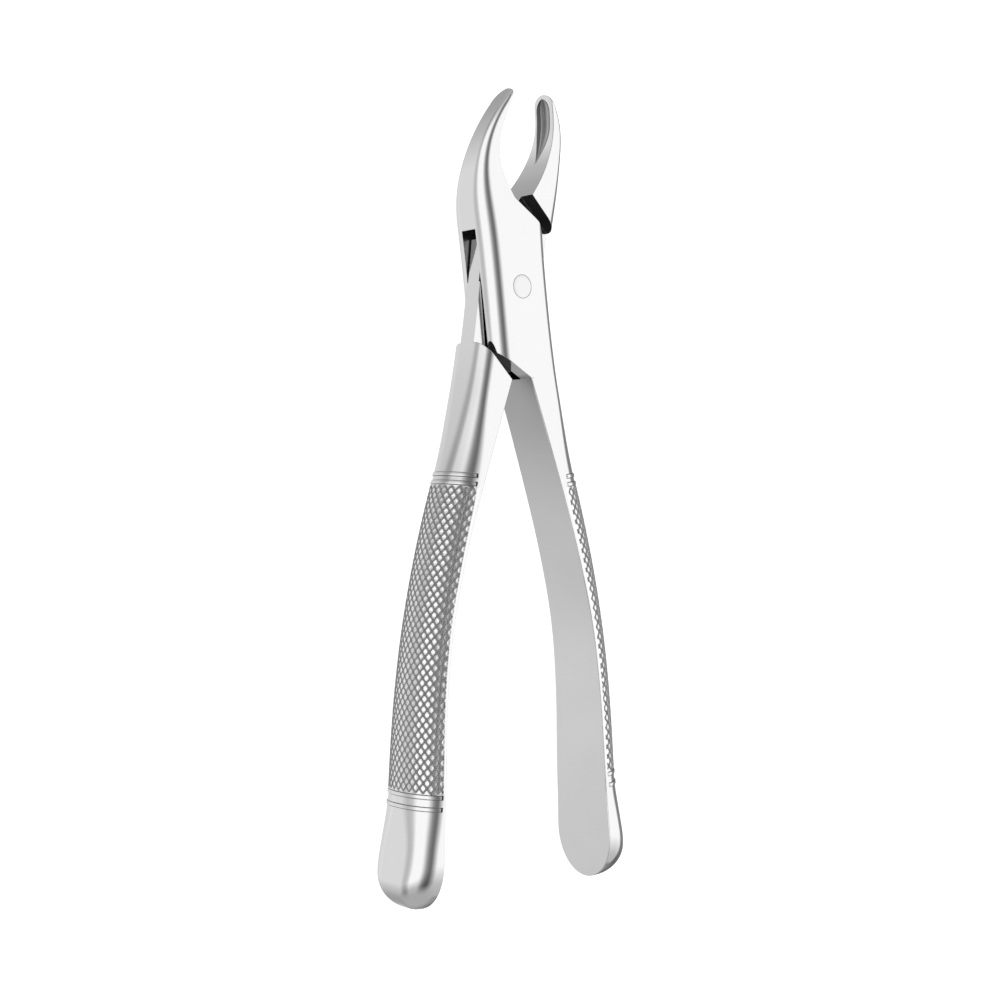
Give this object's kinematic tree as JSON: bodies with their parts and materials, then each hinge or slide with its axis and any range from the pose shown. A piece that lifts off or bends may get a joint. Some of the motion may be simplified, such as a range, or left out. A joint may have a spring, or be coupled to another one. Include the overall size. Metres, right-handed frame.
{
  "type": "dental extraction forceps",
  "caption": "Hand forceps for drawing upper teeth: box-lock joint, slender beaks that sweep forward, bowed D-section handles with a knurled grip.",
  "frame": {"origin": "on the pivot axis, at the back face of the joint", "axes": "+Z along the pivot axis, out of the joint's front face; +Y from the pivot to the beak tips, midway between the handles in the partly open rest pose; +X towards the slotted half's handle"},
  "size_m": [0.0618, 0.1738, 0.0181],
  "materials": {
    "polished_steel": "mirror-polished stainless steel on the joint, beak and handle outsides, satin on the inner faces, knurled on the grips",
    "pin_steel": "stainless steel, ground flush and polished with the joint"
  },
  "bodies": {
    "box": {"slotted_half": "polished_steel", "joint_pin": "pin_steel"},
    "tongue": {"tongue_half": "polished_steel"}
  },
  "joints": [
    {"name": "box_lock", "type": "hinge", "parent": "box", "child": "tongue", "pos_m": [0, 0, 0.006], "axis": [0, 0, 1], "range_deg": [-32, 12.5]}
  ]
}
